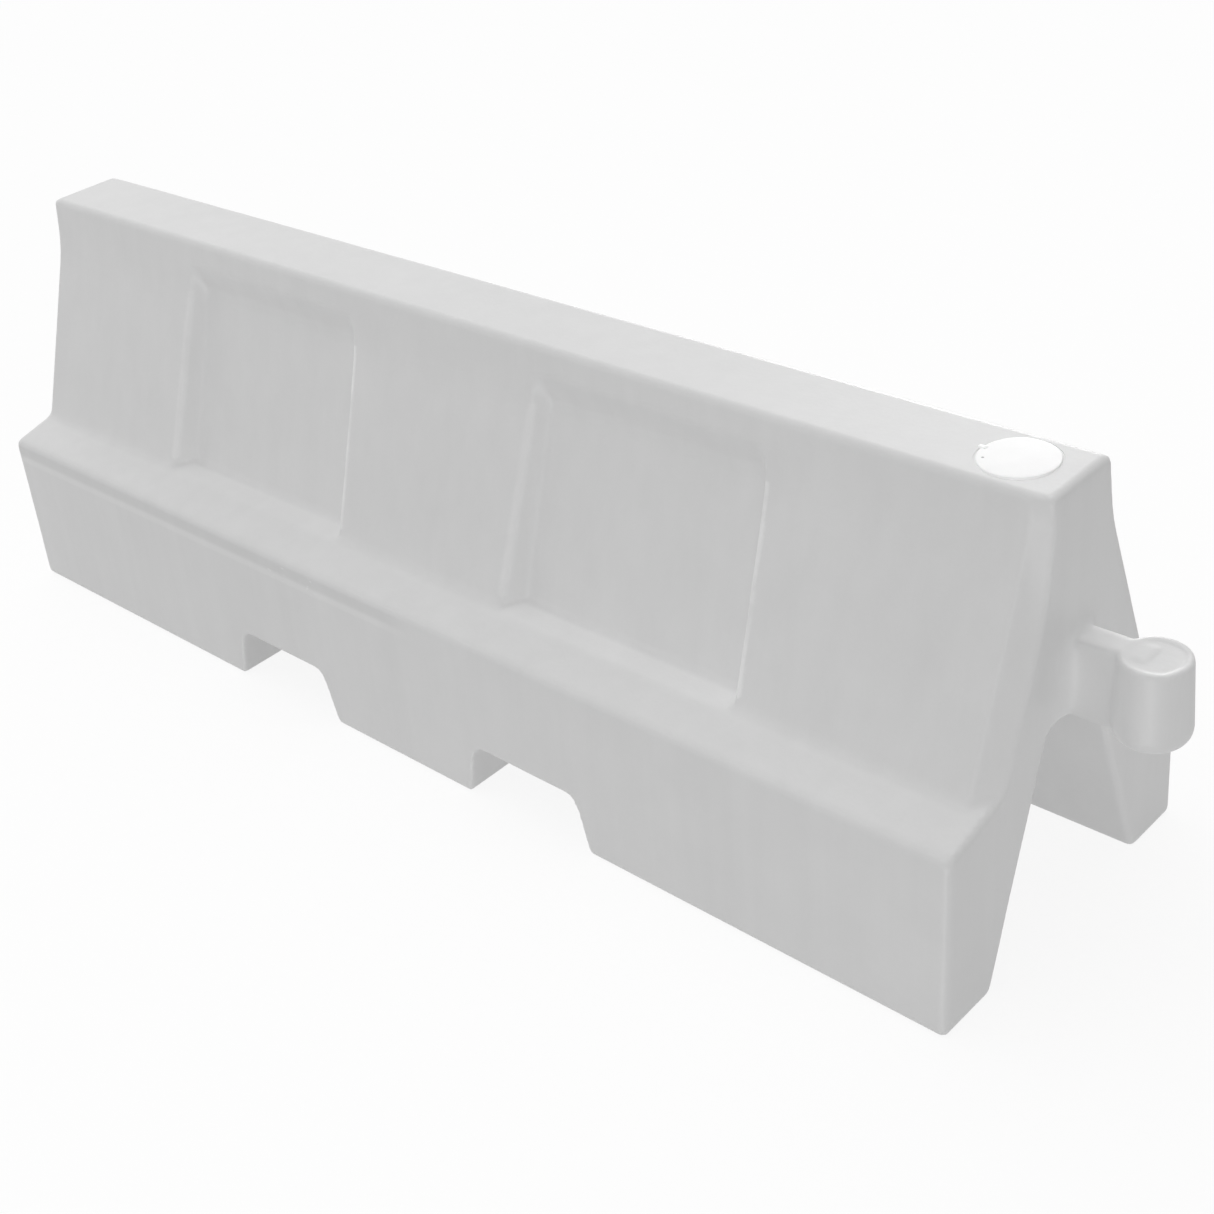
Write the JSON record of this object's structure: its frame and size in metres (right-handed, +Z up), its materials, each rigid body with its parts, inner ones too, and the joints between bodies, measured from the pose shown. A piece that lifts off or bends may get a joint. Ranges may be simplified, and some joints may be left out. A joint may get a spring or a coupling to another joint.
{
  "type": "water filled road barrier",
  "caption": "Hollow moulded road barrier filled with water through a top cap, with fork slots, a tunnel, drain plugs, and a knuckle and socket that link it to the next barrier.",
  "frame": {"origin": "on the ground, below the middle of the overall length with the knuckle, in the plane of symmetry", "axes": "+X along the barrier towards the knuckle, +Z up, -Y towards the viewer's side of the picture"},
  "size_m": [1.9988, 0.5094, 0.615],
  "materials": {
    "tank_grey": "satin rotomoulded polyethylene",
    "cap_white": "satin moulded plastic",
    "seal_rubber": "matt rubber",
    "bush_brass": "plain turned brass",
    "plug_black": "satin moulded plastic"
  },
  "bodies": {
    "tank": {"body_shell": "tank_grey", "drain_bush_front": "bush_brass", "drain_bush_back": "bush_brass"},
    "filler_cap": {"filler_cap": "cap_white", "filler_seal": "seal_rubber"},
    "drain_seal_front": {"drain_seal_front": "seal_rubber"},
    "drain_plug_front": {"drain_plug_front": "plug_black"},
    "drain_seal_back": {"drain_seal_back": "seal_rubber"},
    "drain_plug_back": {"drain_plug_back": "plug_black"}
  },
  "joints": [
    {"name": "filler_cap_lift", "type": "slide", "parent": "tank", "child": "filler_cap", "axis": [0, 0, 1], "range_m": [0, 0.08]},
    {"name": "drain_front_travel", "type": "slide", "parent": "tank", "child": "drain_seal_front", "axis": [-1, 0, 0], "range_m": [0, 0.0151]},
    {"name": "drain_front_turn", "type": "hinge", "parent": "drain_seal_front", "child": "drain_plug_front", "pos_m": [-0.9754, -0.1961, 0.058], "axis": [-1, 0, 0], "range_deg": [0, 1080]},
    {"name": "drain_back_travel", "type": "slide", "parent": "tank", "child": "drain_seal_back", "axis": [-1, 0, 0], "range_m": [0, 0.0151]},
    {"name": "drain_back_turn", "type": "hinge", "parent": "drain_seal_back", "child": "drain_plug_back", "pos_m": [-0.9754, 0.1961, 0.058], "axis": [-1, 0, 0], "range_deg": [0, 1080]}
  ],
  "couplings": [
    {"joint": "drain_front_travel", "follows": "drain_front_turn", "m_per_rad": 0.00079577},
    {"joint": "drain_back_travel", "follows": "drain_back_turn", "m_per_rad": 0.00079577}
  ]
}
